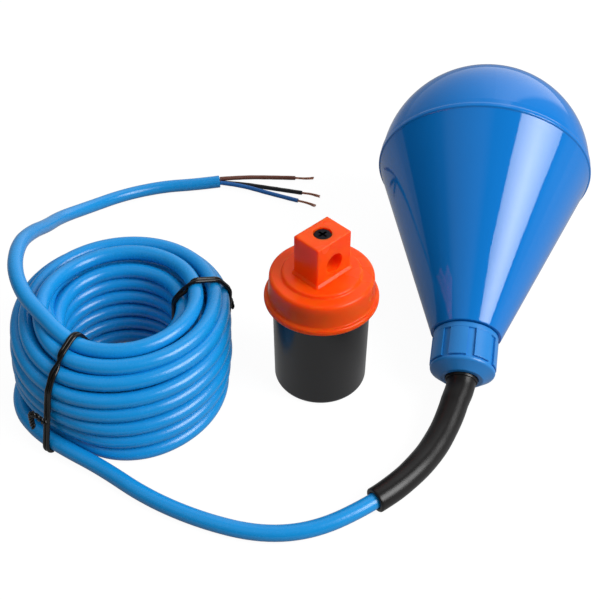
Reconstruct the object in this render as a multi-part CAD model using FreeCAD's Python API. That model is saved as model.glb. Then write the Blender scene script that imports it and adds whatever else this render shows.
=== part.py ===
import FreeCAD, Part
import math
import os

# All sizes are millimetres. +Z is up and z = 0 is the surface that everything rests on.
# The origin is the centre of the counterweight's flat base.

# Float: a pear of two welded shells, lying on its shoulder and on its gland nut
float_x = 79.5
float_y = 89.4
float_heading = -100.19
float_radius = 50.0
shoulder_band = 2.4
shoulder_round = 2.5
dome_height = 48.4
dome_step = 0.5
cone_length = 90.6
neck_radius = 15.4
shell_wall = 2.2
weld_overlap = 3.8
weld_lip = 1.9
neck_floor = 3.4

# Gland: a threaded spigot on the cone, a rubber seal, a washer and the nut
spigot_radius = 12.0
spigot_length = 13.6
seal_bore_radius = 9.0
seal_length = 9.0
core_passage_radius = 5.0
nut_radius = 13.4
nut_collar_radius = 14.2
nut_collar_height = 2.4
nut_bead_radius = 14.1
nut_nose_radius = 9.2
nut_nose_height = 3.3
nut_length = 20.9
nut_round = 1.4
nut_end_wall = 4.0
nut_face_gap = 0.3
pad_count = 8
pad_angle = 31.0
pad_turn = 14.4
pad_height = 1.0
pad_length = 13.2
washer_thickness = 1.0
thread_clearance = 0.1
seat_clearance = 0.1

# Cable: three cores in one jacket, and the black bend sleeve that leaves the nut
cable_radius = 3.3
sleeve_radius = 5.7
sleeve_root_radius = 6.5
sleeve_lip_radius = 7.0
sleeve_flange_radius = 9.1
sleeve_flange_thickness = 3.4
sleeve_lip_stand_out = 1.1
sleeve_length = 73.6
core_radius = 1.15
inner_core_radius = 0.85
copper_radius = 0.6
copper_length = 10.5
copper_grip = 3.0

# Switch capsule: two half housings along the float's axis, with a ball in a channel
capsule_width = 24.0
capsule_thickness = 20.0
capsule_length = 66.0
capsule_neck_length = 6.1
capsule_round = 2.0
capsule_neck_radius = 10.0
ball_radius = 7.0
ball_clearance = 0.3
ball_depth = 28.0
ball_travel = 14.0
ball_stop_radius = 5.5
ball_stop_thickness = 1.0
ball_stop_gap = 0.3
plug_length = 6.0
plug_rim = 1.5
plug_rim_radius = 9.0
lever_thickness = 0.5
lever_width = 5.0
lever_pivot_offset = 9.0
lever_tip = 4.0
lever_gap = 0.3
lever_swing = 6.0
pin_radius = 0.8
pin_clearance = 0.08
eye_wall = 0.6
switch_length = 20.0
switch_width = 10.0
switch_thickness = 6.4
switch_gap = 3.4
plunger_radius = 1.2
plunger_offset = 3.0
plunger_travel = 0.6
plunger_depth = 3.0
terminal_width = 1.2
terminal_thickness = 0.6
terminal_length = 5.0
terminal_pitch = 3.4
chamber_margin = 0.3

# Coil: the outer shape of nineteen turns, and the two twist ties round it
coil_x = -86.0
coil_y = -3.0
coil_outer_radius = 49.0
coil_inner_radius = 21.6
coil_mouth_radius = 25.0
coil_top_radius = 30.5
coil_height = 44.6
coil_wall_height = 13.0
coil_shoulder_height = 30.3
coil_shoulder_radius = 44.6
tie_thickness = 1.2
tie_width = 3.2
tie_clearance = 0.15
tie_front_angle = 238.0
tie_back_angle = 22.0
tie_end_radius = 1.1
groove_clearance = 0.4
groove_side_clearance = 0.5

# Counterweight: a black cup with a steel ballast under an orange cap
cup_radius = 20.7
cup_base_radius = 20.2
cup_round = 2.6
cup_wall = 2.0
cup_floor = 2.4
cup_height = 55.0
ballast_height = 42.0
ballast_clearance = 0.15
cap_radius = 22.6
cap_top_radius = 21.8
cap_round = 1.6
cap_flange_radius = 24.2
cap_flange_thickness = 3.0
cap_flange_round = 1.1
cap_skirt_bottom = 45.4
cap_top = 59.0
cap_roof = 2.4
cap_fit = 0.1
plateau_radius = 16.2
plateau_height = 1.5
plateau_round = 1.0
clamp_length = 19.0
clamp_thickness = 13.8
clamp_height = 19.0
clamp_turn = 44.0
clamp_round = 0.6
clamp_top_round = 0.7
clamp_plinth = 1.0
plinth_height = 1.2
bore_radius = 4.5
bore_height = 7.6
screw_head_radius = 3.8
screw_head_height = 2.2
screw_recess = 0.4
screw_shank_radius = 2.0
screw_tip_clearance = 0.4
cross_width = 1.0
cross_length = 4.4
cross_depth = 1.2

# The cord's route outside the float, chosen by hand as points of straight runs
lead_points = [
    (49.0, -45.0, 5.9),
    (35.0, -63.5, 5.8),
    (18.0, -77.5, 5.8),
    (-3.0, -88.0, 4.2),
    (-24.0, -89.5, 3.3),
    (-47.0, -83.0, 3.3),
    (-69.5, -72.0, 3.3),
    (-89.5, -57.0, 3.3),
    (-107.0, -45.5, 3.3),
]
tail_points = [
    (-104.5, -24.6, 44.4),
    (-114.0, -15.6, 47.4),
    (-125.5, -3.5, 50.0),
    (-134.0, 12.5, 51.0),
    (-137.0, 33.0, 49.0),
    (-136.0, 52.5, 40.0),
    (-133.5, 69.0, 29.0),
    (-130.0, 90.0, 18.0),
    (-119.5, 110.5, 9.0),
    (-104.0, 127.5, 4.5),
    (-84.0, 136.5, 3.3),
    (-66.0, 138.5, 3.3),
    (-53.3, 141.3, 3.3),
]
core_routes = {
    "brown": [(-53.1, 142.1, 4.45), (-41.0, 144.4, 3.9), (-27.0, 145.9, 2.8), (-11.6, 146.4, 2.0)],
    "black": [(-53.0, 142.0, 2.1), (-42.0, 141.2, 1.9), (-26.0, 137.6, 1.6), (-7.9, 133.2, 1.5)],
    "blue": [(-52.6, 140.0, 3.35), (-42.0, 138.6, 2.9), (-26.5, 132.4, 2.0), (-10.1, 126.0, 1.6)],
}

# Arc of a cord's tube at a point: its tangent length as a share of the shorter run
arc_share = 0.45


def vec(point):
    return FreeCAD.Vector(*point)


def corner_arc(before, corner, after, radius):
    """Arc of the given radius that rounds the corner: its start, middle, end and centre."""
    before, corner, after = vec(before), vec(corner), vec(after)
    back = (before - corner).normalize()
    ahead = (after - corner).normalize()
    half = back.getAngle(ahead) / 2
    inward = (back + ahead).normalize()
    centre = corner + inward * (radius / math.sin(half))
    start = corner + back * (radius / math.tan(half))
    end = corner + ahead * (radius / math.tan(half))
    return start, centre - inward * radius, end, centre


def profile(points):
    """Closed face in the XZ plane from (r, z) or (r, z, rounding radius) points."""
    edges = []
    corners = [(p[0], 0, p[1]) for p in points]
    ends = []
    for i, point in enumerate(points):
        if len(point) == 3:
            after = corners[(i + 1) % len(points)]
            start, middle, end, _ = corner_arc(corners[i - 1], corners[i], after, point[2])
            ends.append((start, end))
            edges.append(Part.Arc(start, middle, end).toShape())
        else:
            ends.append((vec(corners[i]), vec(corners[i])))
    for i in range(len(points)):
        start, end = ends[i - 1][1], ends[i][0]
        if start.distanceToPoint(end) > 1e-6:
            edges.append(Part.LineSegment(start, end).toShape())
    return Part.Face(Part.Wire(Part.sortEdges(edges)[0]))


def lathe(points):
    return profile(points).revolve(FreeCAD.Vector(), FreeCAD.Vector(0, 0, 1), 360)


def cylinder(radius, start, end):
    return Part.makeCylinder(radius, end - start, FreeCAD.Vector(0, 0, start))


def box(x_range, y_range, z_range):
    size = [high - low for low, high in (x_range, y_range, z_range)]
    return Part.makeBox(*size, FreeCAD.Vector(x_range[0], y_range[0], z_range[0]))


def single(shape):
    """The one solid of a boolean result, without loose slivers."""
    return max(shape.removeSplitter().Solids, key=lambda solid: solid.Volume)


def save(node, shape):
    shape.exportStep("parts/" + node + ".step")
    print(node, "volume", round(shape.Volume, 1), "valid", shape.isValid(), "solids", len(shape.Solids))


def tube_path(points):
    """Wire of straight runs joined by tangent arcs, with the arcs' radii."""
    points = [vec(p) for p in points]
    edges = []
    radii = []
    reached = points[0]
    for before, corner, after in zip(points, points[1:], points[2:]):
        shorter = min(before.distanceToPoint(corner), corner.distanceToPoint(after))
        turn = (corner - before).getAngle(after - corner)
        radius = arc_share * shorter / math.tan(turn / 2)
        start, middle, end, _ = corner_arc(before, corner, after, radius)
        edges.append(Part.LineSegment(reached, start).toShape())
        edges.append(Part.Arc(start, middle, end).toShape())
        radii.append(round(radius, 1))
        reached = end
    edges.append(Part.LineSegment(reached, points[-1]).toShape())
    return Part.Wire(edges), radii


def sweep(wire, radius):
    """Round tube along a path, square at both ends."""
    first = wire.Edges[0]
    circle = Part.Circle(first.valueAt(first.FirstParameter), first.tangentAt(first.FirstParameter), radius)
    return wire.makePipeShell([Part.Wire(circle.toShape())], True, False)


def tube(name, points, radius):
    wire, radii = tube_path(points)
    solid = sweep(wire, radius)
    expected = math.pi * radius ** 2 * wire.Length
    print(name, "length", round(wire.Length, 1), "radii", radii, "volume ratio", round(solid.Volume / expected, 4))
    return solid


def stretch(wire, start, end):
    """The stretch of a path between two lengths along it."""
    pieces = []
    passed = 0
    for edge in wire.Edges:
        low = max(start - passed, 0)
        high = min(end - passed, edge.Length)
        if high - low > 1e-6:
            pieces.append(edge.Curve.toShape(edge.getParameterByLength(low), edge.getParameterByLength(high)))
        passed += edge.Length
    return Part.Wire(pieces)


# Places along the float's axis: z runs from the shoulder towards the gland nut
cone_start = shoulder_band / 2
neck_rim = cone_start + cone_length
neck_inside = neck_rim - neck_floor
cone_slope = (float_radius - neck_radius) / cone_length
wall_in_radius = shell_wall * math.hypot(1, cone_slope)
capsule_shoulder = neck_inside - capsule_neck_length
capsule_start = capsule_shoulder - capsule_length
ball_seat = capsule_start + ball_depth
spigot_end = neck_rim + spigot_length
nut_start = neck_rim + nut_face_gap
nut_end = nut_start + nut_length
nut_inside_end = nut_end - nut_end_wall
nut_bead_start = nut_start + nut_collar_height + pad_length + 0.8
nut_nose_start = nut_end - nut_nose_height
seal_end = spigot_end - washer_thickness
seal_start = seal_end - seal_length


def cone_inner_radius(z):
    return float_radius - cone_slope * (z - cone_start) - wall_in_radius


def rest_on_surface():
    """Tilt and height of the float's axis when shoulder and nut touch z = 0."""
    shoulder = corner_arc(
        (float_radius, 0, 0), (float_radius, 0, cone_start), (neck_radius, 0, neck_rim), shoulder_round)[3]
    bead = corner_arc(
        (nut_bead_radius, 0, nut_bead_start), (nut_bead_radius, 0, nut_nose_start),
        (nut_nose_radius, 0, nut_end), nut_round)[3]
    distance = shoulder.distanceToPoint(bead)
    tilt = math.atan2(shoulder.x - bead.x, bead.z - shoulder.z)
    tilt += math.asin((shoulder_round - nut_round) / distance)
    height = shoulder.z * math.sin(tilt) + shoulder.x * math.cos(tilt) + shoulder_round
    return tilt, height


def float_frame():
    """Placement that turns local +Z along the float's axis to the nut and local +X upwards."""
    tilt, height = rest_on_surface()
    heading = math.radians(float_heading)
    level = FreeCAD.Vector(math.cos(heading), math.sin(heading), 0)
    up = FreeCAD.Vector(0, 0, 1)
    axis = level * math.cos(tilt) - up * math.sin(tilt)
    top = level * math.sin(tilt) + up * math.cos(tilt)
    turn = FreeCAD.Rotation(top, axis.cross(top), axis, "ZXY")
    return FreeCAD.Placement(FreeCAD.Vector(float_x, float_y, height), turn)


float_place = float_frame()


def on_float(shape):
    shape.Placement = float_place.multiply(shape.Placement)
    return shape


def axis_point(z):
    return tuple(float_place.multVec(FreeCAD.Vector(0, 0, z)))


def float_cone():
    seat_radius = float_radius - shell_wall
    seat_end = weld_overlap - cone_start
    points = [
        (seat_radius, -cone_start),
        (float_radius, -cone_start, 0.4),
        (float_radius, cone_start, shoulder_round),
        (neck_radius, neck_rim, 0.5),
        (spigot_radius, neck_rim),
        (spigot_radius, spigot_end, 0.5),
        (seal_bore_radius, spigot_end),
        (seal_bore_radius, seal_start),
        (core_passage_radius, seal_start),
        (core_passage_radius, neck_inside),
        (cone_inner_radius(neck_inside), neck_inside, 1.0),
        (cone_inner_radius(seat_end), seat_end),
        (seat_radius, seat_end),
    ]
    return lathe(points)


def dome_arc(radius, height, base):
    """Arc centred on the axis from (radius, base) up to the crown, height above the base."""
    sphere_radius = (radius ** 2 + height ** 2) / (2 * height)
    centre_z = base - height + sphere_radius
    half_turn = math.acos((sphere_radius - height) / sphere_radius) / 2
    middle = (sphere_radius * math.sin(half_turn), 0, centre_z - sphere_radius * math.cos(half_turn))
    return Part.Arc(vec((radius, 0, base)), vec(middle), vec((0, 0, base - height))).toShape()


def float_dome():
    """Domed shell with a lip that plugs into the cone's weld seat."""
    lip_radius = float_radius - shell_wall - seat_clearance
    inner_radius = float_radius - shell_wall - weld_lip
    outer_radius = float_radius - dome_step
    rim = -cone_start
    lip_end = weld_overlap - cone_start - seat_clearance
    inner_height = dome_height - shell_wall
    edges = [dome_arc(outer_radius, dome_height, rim), dome_arc(inner_radius, inner_height, rim)]
    lip = [(outer_radius, rim), (lip_radius, rim), (lip_radius, lip_end), (inner_radius, lip_end), (inner_radius, rim)]
    crown = [(0, rim - inner_height), (0, rim - dome_height)]
    for chain in (lip, crown):
        for start, end in zip(chain, chain[1:]):
            edges.append(Part.LineSegment(vec((start[0], 0, start[1])), vec((end[0], 0, end[1]))).toShape())
    face = Part.Face(Part.Wire(Part.sortEdges(edges)[0]))
    return face.revolve(FreeCAD.Vector(), FreeCAD.Vector(0, 0, 1), 360)


def gland_nut():
    collar_end = nut_start + nut_collar_height
    cavity_radius = sleeve_flange_radius + seat_clearance
    thread_radius = spigot_radius + thread_clearance
    body = lathe([
        (thread_radius, nut_start),
        (nut_collar_radius, nut_start, 0.4),
        (nut_collar_radius, collar_end, 0.3),
        (nut_radius, collar_end + 0.3),
        (nut_radius, nut_bead_start - 0.5),
        (nut_bead_radius, nut_bead_start, 0.3),
        (nut_bead_radius, nut_nose_start, nut_round),
        (nut_nose_radius, nut_end, 1.2),
        (sleeve_lip_radius + seat_clearance, nut_end, 0.5),
        (sleeve_lip_radius + seat_clearance, nut_inside_end),
        (cavity_radius, nut_inside_end),
        (cavity_radius, spigot_end + seat_clearance),
        (thread_radius, spigot_end + seat_clearance),
    ])
    pad_profile = profile([
        (nut_radius - 0.5, collar_end + 0.1),
        (nut_radius + pad_height, collar_end + 0.1, 0.3),
        (nut_radius + pad_height, collar_end + pad_length, 0.3),
        (nut_radius - 0.5, collar_end + pad_length),
    ])
    pad = pad_profile.revolve(FreeCAD.Vector(), FreeCAD.Vector(0, 0, 1), pad_angle)
    pads = []
    for i in range(pad_count):
        copy = pad.copy()
        angle = pad_turn - pad_angle / 2 + i * 360 / pad_count
        copy.rotate(FreeCAD.Vector(), FreeCAD.Vector(0, 0, 1), angle)
        pads.append(copy)
    return single(body.fuse(pads))


def gland_seal():
    return lathe([
        (cable_radius + seat_clearance, seal_start),
        (seal_bore_radius - seat_clearance, seal_start, 0.6),
        (seal_bore_radius - seat_clearance, seal_end),
        (cable_radius + seat_clearance, seal_end),
    ])


def gland_washer():
    return lathe([
        (cable_radius + seat_clearance, seal_end),
        (seal_bore_radius - seat_clearance, seal_end),
        (seal_bore_radius - seat_clearance, spigot_end),
        (cable_radius + seat_clearance, spigot_end),
    ])


jacket_start = seal_start + 1.0
lead_route = [axis_point(jacket_start), axis_point(nut_end + 4.0)] + lead_points


def bend_sleeve():
    """Flange held by the nut's end wall, and the hose along the cable up to its square cut."""
    flange_start = nut_inside_end - sleeve_flange_thickness
    root_end = nut_end + 4 * sleeve_lip_stand_out
    root = on_float(lathe([
        (0, flange_start),
        (sleeve_flange_radius, flange_start),
        (sleeve_flange_radius, nut_inside_end),
        (sleeve_lip_radius, nut_inside_end),
        (sleeve_lip_radius, nut_end + sleeve_lip_stand_out, 0.3),
        (sleeve_root_radius, nut_end + sleeve_lip_stand_out),
        (sleeve_radius, root_end),
        (0, root_end),
    ]))
    path = tube_path(lead_route)[0]
    hose = sweep(stretch(path, nut_inside_end - jacket_start, nut_end - jacket_start + sleeve_length), sleeve_radius)
    hollow = sweep(path, cable_radius + seat_clearance)
    return single(root.fuse(hose).cut(hollow))


def capsule_blank():
    """Outer form of the closed switch capsule, with every hollow cut out."""
    half_width, half_thickness = capsule_width / 2, capsule_thickness / 2
    body = box((-half_width, half_width), (-half_thickness, half_thickness), (capsule_start, capsule_shoulder))
    long_edges = [e for e in body.Edges if abs(e.tangentAt(0).z) > 0.9]
    body = body.makeFillet(capsule_round, long_edges)
    body = body.fuse(cylinder(capsule_neck_radius, capsule_shoulder - 1, neck_inside))
    stop_start = ball_seat + math.sqrt(ball_radius ** 2 - ball_stop_radius ** 2) + ball_stop_gap
    chamber_start = stop_start + ball_stop_thickness
    switch_start = ball_seat + ball_radius + lever_gap + switch_gap
    switch_end = switch_start + switch_length
    passage = core_passage_radius - 1
    hollows = [
        cylinder(ball_radius + ball_clearance, capsule_start - 1, stop_start),
        cylinder(ball_stop_radius, stop_start - 1, chamber_start + 1),
        box((-lever_pivot_offset - 1.8, lever_tip + 2.2), (-lever_width / 2 - 1, lever_width / 2 + 1),
            (chamber_start, switch_start)),
        box((-switch_width / 2 - 0.05, switch_width / 2 + 0.05),
            (-switch_thickness / 2 - 0.05, switch_thickness / 2 + 0.05),
            (switch_start - 0.5, switch_end + 0.05)),
        box((-switch_width / 2 + chamber_margin, switch_width / 2 - chamber_margin),
            (-switch_thickness / 2 + chamber_margin, switch_thickness / 2 - chamber_margin),
            (switch_end, neck_inside - 1.5)),
        cylinder(passage - 1.6, neck_inside - 3, neck_inside + 1),
    ]
    pin_hole = Part.makeCylinder(pin_radius + 0.02, lever_width + 5, FreeCAD.Vector(
        -lever_pivot_offset, -lever_width / 2 - 2.5, lever_pivot_z()), FreeCAD.Vector(0, 1, 0))
    return single(body.cut(hollows + [pin_hole]))


def lever_pivot_z():
    return ball_seat + ball_radius + lever_gap + lever_thickness / 2 + 0.9


def capsule_half(side):
    """One half housing: side -1 is the base, side +1 the lid."""
    reach = 2 * capsule_width
    y_range = (-reach, 0) if side < 0 else (0, reach)
    block = box((-reach, reach), y_range, (capsule_start - 5, neck_inside + 5))
    return single(capsule_blank().common(block))


def channel_plug():
    bore = ball_radius + ball_clearance - seat_clearance
    return lathe([
        (0, capsule_start - plug_rim),
        (plug_rim_radius, capsule_start - plug_rim, 0.5),
        (plug_rim_radius, capsule_start),
        (bore, capsule_start),
        (bore, capsule_start + plug_length, 0.4),
        (0, capsule_start + plug_length),
    ])


def steel_ball():
    return Part.makeSphere(ball_radius, FreeCAD.Vector(0, 0, ball_seat))


def switch_lever():
    """Spring strip across the channel, with an eye round its pin."""
    face = ball_seat + ball_radius + lever_gap
    half = lever_width / 2
    eye_radius = pin_radius + pin_clearance + eye_wall
    strip = box((-lever_pivot_offset, lever_tip), (-half, half), (face, face + lever_thickness))
    eye = Part.makeCylinder(eye_radius, lever_width, FreeCAD.Vector(
        -lever_pivot_offset, -half, lever_pivot_z()), FreeCAD.Vector(0, 1, 0))
    bore = Part.makeCylinder(pin_radius + pin_clearance, lever_width, FreeCAD.Vector(
        -lever_pivot_offset, -half, lever_pivot_z()), FreeCAD.Vector(0, 1, 0))
    return single(strip.fuse(eye).cut(bore))


def lever_pin():
    length = lever_width + 5
    return Part.makeCylinder(pin_radius, length, FreeCAD.Vector(
        -lever_pivot_offset, -length / 2, lever_pivot_z()), FreeCAD.Vector(0, 1, 0))


def switch_start_z():
    return ball_seat + ball_radius + lever_gap + switch_gap


def switch_body():
    start = switch_start_z()
    half_width, half_thickness = switch_width / 2, switch_thickness / 2
    body = box((-half_width, half_width), (-half_thickness, half_thickness), (start, start + switch_length))
    body = body.makeFillet(0.6, [e for e in body.Edges if abs(e.tangentAt(0).y) > 0.9])
    hole = cylinder(plunger_radius + pin_clearance, start - 1, start + plunger_depth)
    hole.translate(FreeCAD.Vector(-plunger_offset, 0, 0))
    return single(body.cut(hole))


def switch_plunger():
    tip = ball_seat + ball_radius + lever_gap + lever_thickness + 0.1
    plunger = lathe([
        (0, tip),
        (plunger_radius, tip, 0.6),
        (plunger_radius, switch_start_z() + plunger_depth - 0.3),
        (0, switch_start_z() + plunger_depth - 0.3),
    ])
    plunger.translate(FreeCAD.Vector(-plunger_offset, 0, 0))
    return plunger


def switch_terminal(index):
    start = switch_start_z() + switch_length
    x = (index - 1) * terminal_pitch
    half, thick = terminal_width / 2, terminal_thickness / 2
    return box((x - half, x + half), (-thick, thick), (start, start + terminal_length))


def inner_core(index):
    """One insulated core from its terminal back to the end of the jacket."""
    start = switch_start_z() + switch_length + terminal_length
    x = (index - 1) * terminal_pitch
    gather = (index - 1) * 1.2 * inner_core_radius
    lift = inner_core_radius * (1.4 if index == 1 else -0.7)
    points = [
        (x, 0, start),
        (x, 0, start + 3.0),
        (gather, lift, neck_inside - 1.0),
        (gather, lift, jacket_start),
    ]
    wire = Part.makePolygon([vec(p) for p in points])
    circle = Part.Wire(Part.Circle(vec(points[0]), FreeCAD.Vector(0, 0, 1), inner_core_radius).toShape())
    return wire.makePipeShell([circle], True, False, 1)


def coil_profile(bottom):
    """Cross-section of the coil, from the given height up."""
    return profile([
        (coil_inner_radius + 0.6, bottom, 2.6),
        (coil_outer_radius, bottom, 2.8),
        (coil_outer_radius, coil_wall_height, 8.0),
        (coil_shoulder_radius, coil_shoulder_height, 10.0),
        (coil_top_radius, coil_height, 6.0),
        (coil_mouth_radius, coil_height, 2.8),
        (coil_inner_radius - 0.8, 0.7 * coil_height, 12.0),
    ])


def coil_place(shape, angle=0.0):
    shape.rotate(FreeCAD.Vector(), FreeCAD.Vector(0, 0, 1), angle)
    shape.translate(FreeCAD.Vector(coil_x, coil_y, 0))
    return shape


def cable_coil(lead, tail):
    """Closed outer shape of the turns, let in where the ties, the lead and the tail lie."""
    axis = FreeCAD.Vector(0, 0, 1)
    coil = coil_place(coil_profile(0).revolve(FreeCAD.Vector(), axis, 360))
    pulled_in = coil_profile(tie_thickness + groove_clearance).revolve(FreeCAD.Vector(), axis, 360)
    half_groove = tie_width / 2 + groove_side_clearance
    reach = 1.2 * coil_outer_radius
    for angle in (tie_front_angle, tie_back_angle):
        slab = box((0, reach), (-half_groove, half_groove), (-1, 1.2 * coil_height))
        coil = coil.cut(coil_place(slab.cut(pulled_in), angle))
    return single(coil.cut([lead, tail]))


def twist_tie(angle, wall_radius, height, direction, length):
    """Wire tie round the coil's section, with its twisted end on the coil's outer wall."""
    section = coil_profile(tie_thickness + groove_clearance)
    inner = section.OuterWire.makeOffset2D(tie_clearance)
    outer = section.OuterWire.makeOffset2D(tie_clearance + tie_thickness)
    ring = Part.Face(outer).cut(Part.Face(inner))
    band = ring.extrude(FreeCAD.Vector(0, tie_width, 0))
    band.translate(FreeCAD.Vector(0, -tie_width / 2, 0))
    start = FreeCAD.Vector(wall_radius + 2 * tie_clearance + tie_end_radius, 0, height)
    end = Part.makeCone(tie_end_radius, tie_end_radius * 0.8, length, start, vec(direction))
    knot = Part.makeSphere(tie_end_radius, start)
    return coil_place(single(band.fuse([end, knot])), angle)


def core_end_direction(points):
    return (vec(points[-1]) - vec(points[-2])).normalize()


def tail_core(name, points):
    insulation = tube("core_" + name, points, core_radius)
    direction = core_end_direction(points)
    grip = Part.makeCylinder(copper_radius + 0.02, copper_grip + 1, vec(points[-1]) - direction * copper_grip, direction)
    return single(insulation.cut(grip))


def copper_end(points):
    """Bare strands past the insulation, flared a little to their cut end."""
    direction = core_end_direction(points)
    tip = vec(points[-1])
    stub = Part.makeCylinder(copper_radius, copper_grip, tip - direction * copper_grip, direction)
    flare = Part.makeCone(copper_radius, copper_radius * 1.5, copper_length, tip, direction)
    return single(stub.fuse(flare))


def weight_cup():
    inner = cup_radius - cup_wall
    inner_base = cup_base_radius - cup_wall
    return lathe([
        (0, 0),
        (cup_base_radius, 0, cup_round),
        (cup_radius, cup_height, 0.4),
        (inner, cup_height, 0.4),
        (inner_base, cup_floor, 1.0),
        (0, cup_floor),
    ])


def weight_ballast():
    radius = cup_base_radius - cup_wall - ballast_clearance
    return lathe([
        (0, cup_floor),
        (radius, cup_floor, 1.4),
        (radius, cup_floor + ballast_height, 1.0),
        (0, cup_floor + ballast_height),
    ])


plateau_top = cap_top + plateau_height
clamp_top = plateau_top + clamp_height
bore_z = plateau_top + bore_height


def clamp_block():
    """Upright block of the cap with rounded edges, centred on the axis before its turn."""
    half_length, half_thickness = clamp_length / 2, clamp_thickness / 2
    block = box((-half_length, half_length), (-half_thickness, half_thickness), (cap_top - 1, clamp_top))
    upright = [e for e in block.Edges if abs(e.tangentAt(0).z) > 0.9]
    block = block.makeFillet(clamp_round, upright)
    top = [e for e in block.Edges if e.BoundBox.ZMin > clamp_top - 0.01]
    block = block.makeFillet(clamp_top_round, top)
    grow = clamp_plinth
    plinth = box((-half_length - grow, half_length + grow), (-half_thickness - grow, half_thickness + grow),
                 (cap_top - 1, plateau_top + plinth_height))
    plinth = plinth.makeFillet(clamp_round + grow, [e for e in plinth.Edges if abs(e.tangentAt(0).z) > 0.9])
    rim = [e for e in plinth.Edges if e.BoundBox.ZMin > plateau_top + plinth_height - 0.01]
    return block.fuse(plinth.makeChamfer(0.85, rim))


def weight_cap():
    socket_radius = cup_radius + cap_fit
    roof_under = cup_height + cap_fit
    body = lathe([
        (0, roof_under),
        (socket_radius, roof_under),
        (socket_radius, cap_skirt_bottom),
        (cap_flange_radius, cap_skirt_bottom, cap_flange_round),
        (cap_flange_radius, cap_skirt_bottom + cap_flange_thickness, cap_flange_round),
        (cap_radius, cap_skirt_bottom + cap_flange_thickness, 0.6),
        (cap_top_radius, cap_top, cap_round),
        (plateau_radius + 0.6, cap_top, 0.8),
        (plateau_radius, plateau_top, plateau_round),
        (0, plateau_top),
    ])
    block = clamp_block()
    body = body.fuse(block)
    bore = Part.makeCylinder(bore_radius, 3 * clamp_thickness, FreeCAD.Vector(
        0, -1.5 * clamp_thickness, bore_z), FreeCAD.Vector(0, 1, 0))
    head = cylinder(screw_head_radius + seat_clearance, head_seat_z(), clamp_top + 1)
    shank = cylinder(screw_shank_radius + 0.02, bore_z, head_seat_z() + 0.1)
    return turn_clamp(single(body.cut([bore, head, shank])))


def head_seat_z():
    return clamp_top - screw_recess - screw_head_height


def turn_clamp(shape):
    shape.rotate(FreeCAD.Vector(), FreeCAD.Vector(0, 0, 1), clamp_turn)
    return shape


def clamp_screw():
    """Cross-recessed screw whose tip stops short of the cable's bore."""
    tip = bore_z + bore_radius + screw_tip_clearance
    seat = head_seat_z()
    top = clamp_top - screw_recess
    screw = lathe([
        (0, tip),
        (screw_shank_radius, tip, 0.4),
        (screw_shank_radius, seat),
        (screw_head_radius, seat),
        (screw_head_radius, top, 0.7),
        (0, top),
    ])
    long, half = cross_length / 2, cross_width / 2
    cross = [
        box((-long, long), (-half, half), (top - cross_depth, top + 1)),
        box((-half, half), (-long, long), (top - cross_depth, top + 1)),
    ]
    return turn_clamp(single(screw.cut(cross)))


os.makedirs("parts", exist_ok=True)

save("float_cone", on_float(float_cone()))
save("float_dome", on_float(float_dome()))
save("gland_nut", on_float(gland_nut()))
save("gland_seal", on_float(gland_seal()))
save("gland_washer", on_float(gland_washer()))
save("bend_sleeve", bend_sleeve())

save("capsule_base", on_float(capsule_half(-1)))
save("capsule_lid", on_float(capsule_half(1)))
save("channel_plug", on_float(channel_plug()))
save("steel_ball", on_float(steel_ball()))
save("switch_lever", on_float(switch_lever()))
save("lever_pin", on_float(lever_pin()))
save("switch_body", on_float(switch_body()))
save("switch_plunger", on_float(switch_plunger()))
for index, name in enumerate(core_routes):
    save("terminal_" + name, on_float(switch_terminal(index)))
    save("inner_core_" + name, on_float(inner_core(index)))

cable_lead = tube("cable_lead", lead_route, cable_radius)
cable_tail = tube("cable_tail", tail_points, cable_radius)
save("cable_lead", cable_lead)
save("cable_coil", cable_coil(cable_lead, cable_tail))
save("cable_tail", cable_tail)
for name, points in core_routes.items():
    save("core_" + name, tail_core(name, points))
    save("copper_" + name, copper_end(points))
save("tie_front", twist_tie(tie_front_angle, coil_outer_radius, 9.0, (-0.1, -1.0, 0.1), 14.0))
save("tie_back", twist_tie(tie_back_angle, coil_shoulder_radius, coil_shoulder_height, (0.25, -0.3, -1.0), 8.0))

save("weight_cup", weight_cup())
save("weight_ballast", weight_ballast())
save("weight_cap", weight_cap())
save("clamp_screw", clamp_screw())
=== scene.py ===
import bpy
import math
import numpy as np
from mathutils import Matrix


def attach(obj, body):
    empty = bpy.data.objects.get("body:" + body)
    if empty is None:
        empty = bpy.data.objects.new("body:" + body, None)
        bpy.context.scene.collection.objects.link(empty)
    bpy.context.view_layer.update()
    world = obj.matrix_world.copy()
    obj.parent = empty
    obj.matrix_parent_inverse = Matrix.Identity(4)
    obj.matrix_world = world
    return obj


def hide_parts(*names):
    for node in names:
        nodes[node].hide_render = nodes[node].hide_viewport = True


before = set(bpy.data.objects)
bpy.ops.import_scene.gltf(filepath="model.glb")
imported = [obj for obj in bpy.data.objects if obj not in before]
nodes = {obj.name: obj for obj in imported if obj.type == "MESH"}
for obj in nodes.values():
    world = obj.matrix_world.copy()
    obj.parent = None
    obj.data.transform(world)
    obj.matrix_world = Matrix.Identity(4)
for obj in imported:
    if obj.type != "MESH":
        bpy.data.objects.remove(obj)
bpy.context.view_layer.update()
mainBody = "switch_and_weight"
mm = 0.001
print("frame loaded:", len(nodes), "parts")

# the float's axis: the point at its shoulder and the direction towards the gland nut
floatAxis = {
    "origin": np.array([0.0795, 0.0894, 0.04781]),
    "direction": np.array([-0.167887, -0.934011, -0.315337]),
    "jacketStart": 0.0964,
    "nutInsideEnd": 0.1090,
    "nutEnd": 0.1130,
}


def axisPoint(along):
    # point on the float's axis: origin + direction * distance along it
    return floatAxis["origin"] + floatAxis["direction"] * along


# Materials

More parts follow.
